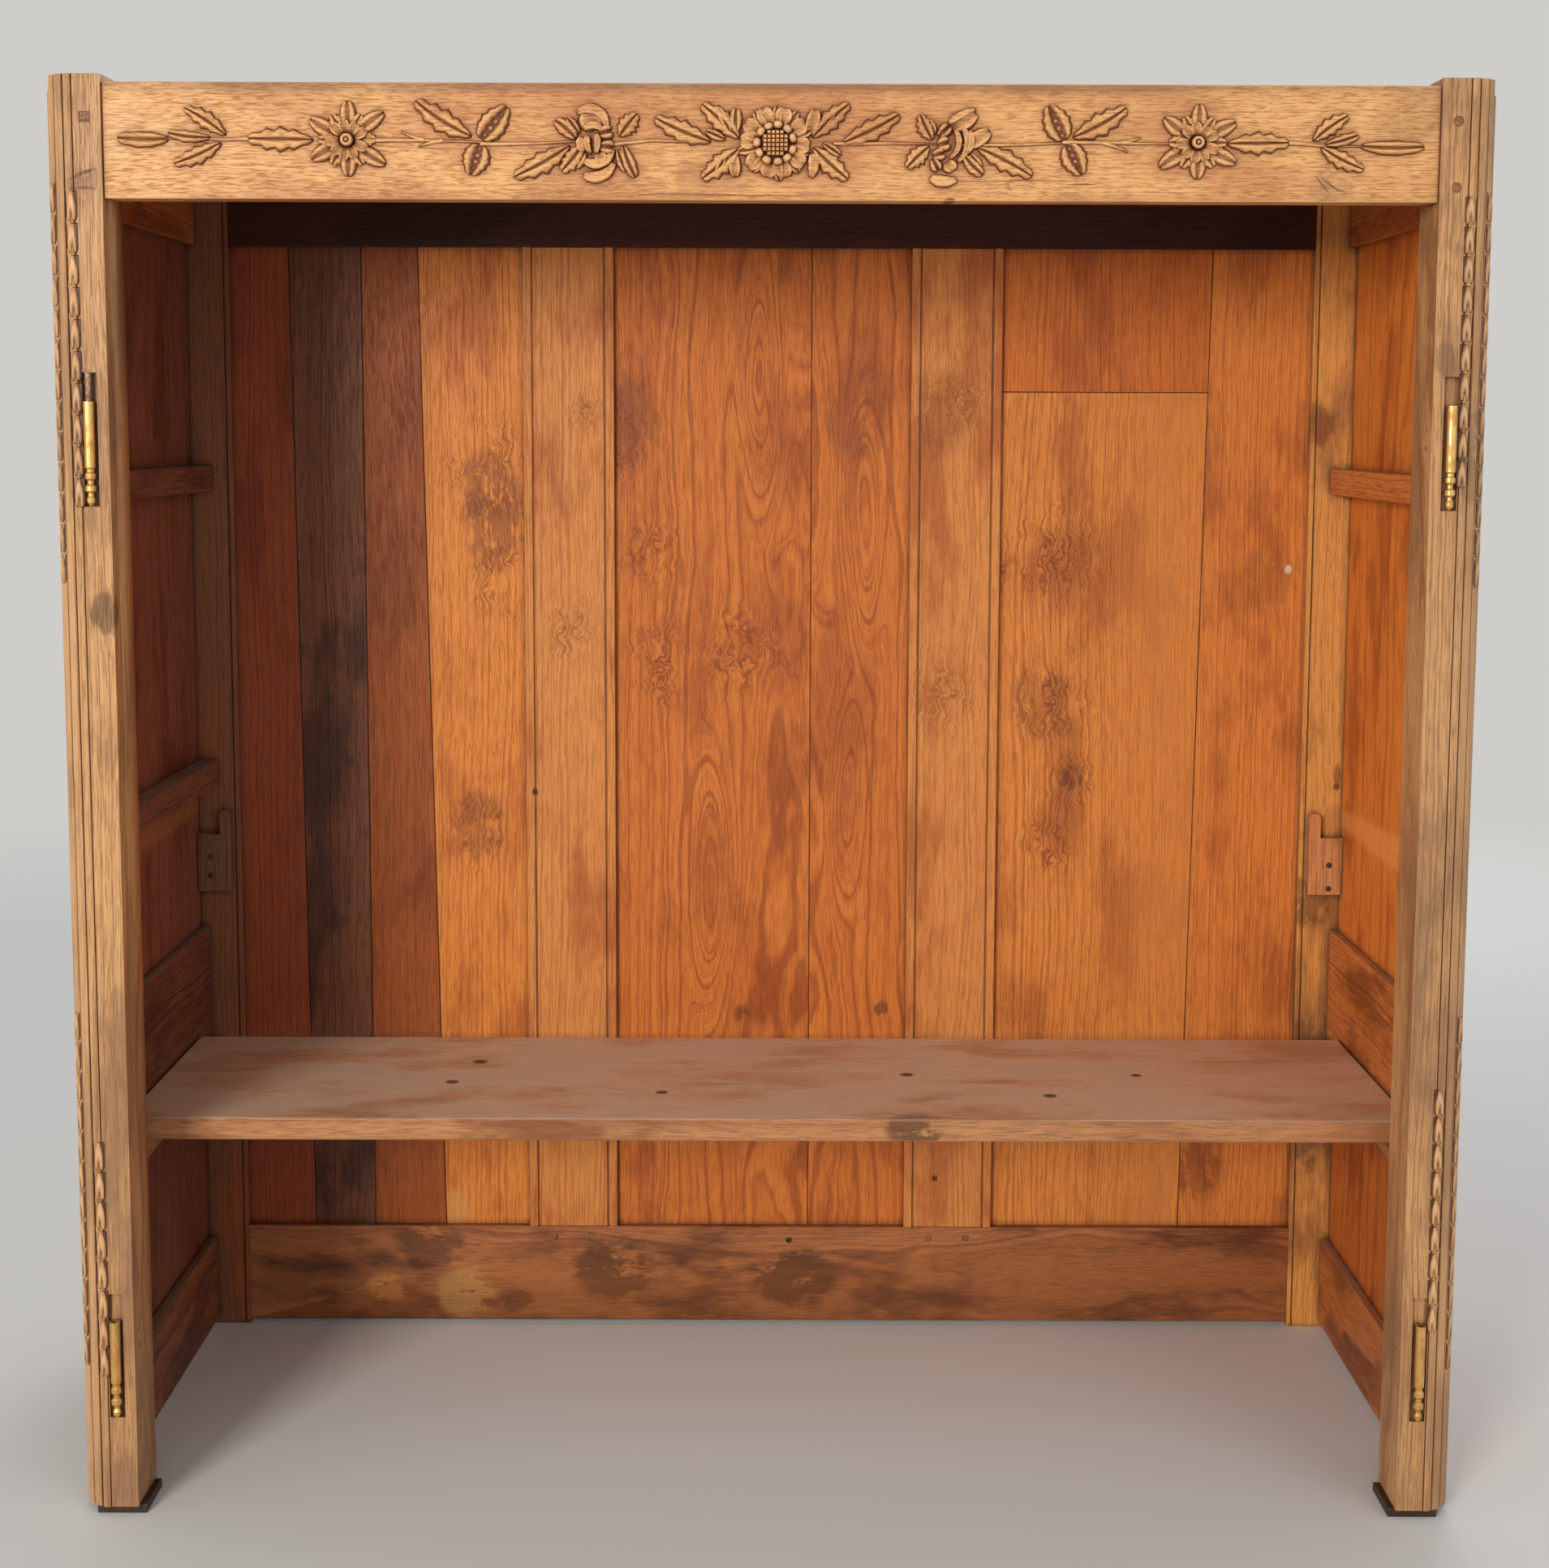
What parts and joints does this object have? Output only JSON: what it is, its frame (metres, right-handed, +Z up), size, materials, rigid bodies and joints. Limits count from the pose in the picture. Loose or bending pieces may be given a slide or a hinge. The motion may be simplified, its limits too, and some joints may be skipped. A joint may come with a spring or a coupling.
{
  "type": "open cupboard carcase",
  "caption": "Open oak cupboard carcase with moulded front posts, top rail, framed and boarded sides and back, hinge halves and one loose shelf on bearers.",
  "frame": {"origin": "middle of the carcase's footprint on the floor, hinge knuckles included", "axes": "+X to the right as seen from the open front, +Y from the open front to the back, +Z up"},
  "size_m": [1.41, 0.4598, 1.45],
  "materials": {
    "honey_oak": "old wax, worn and golden, darker along the mouldings",
    "rail_oak": "old wax, golden, dark in the carving",
    "foot_oak": "blackened end grain",
    "peg_oak": "dark end grain",
    "back_frame_oak": "orange brown, half dull",
    "back_board": "orange brown, half dull",
    "back_board_dark": "dark brown, half dull",
    "side_oak": "dark red brown, dull",
    "side_panel": "dark red brown, dull",
    "top_board": "bare and dull",
    "bearer_wood": "bare and dull",
    "shelf_plank": "bare and dull, with knots",
    "hinge_brass": "tarnished brass with bright wear",
    "iron": "rusted wrought iron"
  },
  "bodies": {
    "carcase": {"front_post_left": "honey_oak", "front_post_right": "honey_oak", "front_foot_left": "foot_oak", "front_foot_right": "foot_oak", "front_top_rail": "rail_oak", "front_peg_left": "peg_oak", "front_peg_right_upper": "peg_oak", "front_peg_right_lower": "peg_oak", "rear_stile_left": "back_frame_oak", "rear_stile_right": "back_frame_oak", "back_top_rail": "back_frame_oak", "back_bottom_rail": "back_frame_oak", "back_muntin_left": "back_frame_oak", "back_muntin_right": "back_frame_oak", "back_peg_1": "peg_oak", "back_peg_2": "peg_oak", "back_peg_3": "peg_oak", "back_peg_4": "peg_oak", "back_board_left_1": "back_board", "back_board_left_2": "back_board_dark", "back_board_left_3": "back_board", "back_board_left_4": "back_board", "back_board_centre_1": "back_board", "back_board_centre_2": "back_board", "back_board_right_1_lower": "back_board", "back_board_right_1_upper": "back_board", "back_board_right_2": "back_board", "side_top_rail_left": "side_oak", "side_top_rail_right": "side_oak", "side_middle_rail_left": "side_oak", "side_middle_rail_right": "side_oak", "side_bottom_rail_left": "side_oak", "side_bottom_rail_right": "side_oak", "side_panel_upper_left": "side_panel", "side_panel_upper_right": "side_panel", "side_panel_lower_left": "side_panel", "side_panel_lower_right": "side_panel", "top_board_front": "top_board", "top_board_rear": "top_board", "bearer_upper_left": "bearer_wood", "bearer_upper_right": "bearer_wood", "bearer_middle_left": "bearer_wood", "shelf_bearer_left": "bearer_wood", "shelf_bearer_right": "bearer_wood", "notched_cleat_left": "bearer_wood", "notched_cleat_right": "bearer_wood", "hinge_upper_left": "hinge_brass", "hinge_upper_right": "hinge_brass", "hinge_lower_left": "hinge_brass", "hinge_lower_right": "hinge_brass", "hinge_pin": "iron", "hinge_nail_upper_left_1": "iron", "hinge_nail_upper_left_2": "iron", "hinge_nail_upper_right_1": "iron", "hinge_nail_upper_right_2": "iron", "hinge_nail_lower_left_1": "iron", "hinge_nail_lower_left_2": "iron", "hinge_nail_lower_right_1": "iron", "hinge_nail_lower_right_2": "iron"},
    "loose_shelf": {"shelf": "shelf_plank"}
  },
  "joints": [
    {"name": "shelf_lift", "type": "slide", "parent": "carcase", "child": "loose_shelf", "axis": [0, 0, 1], "range_m": [0, 0.28]}
  ]
}
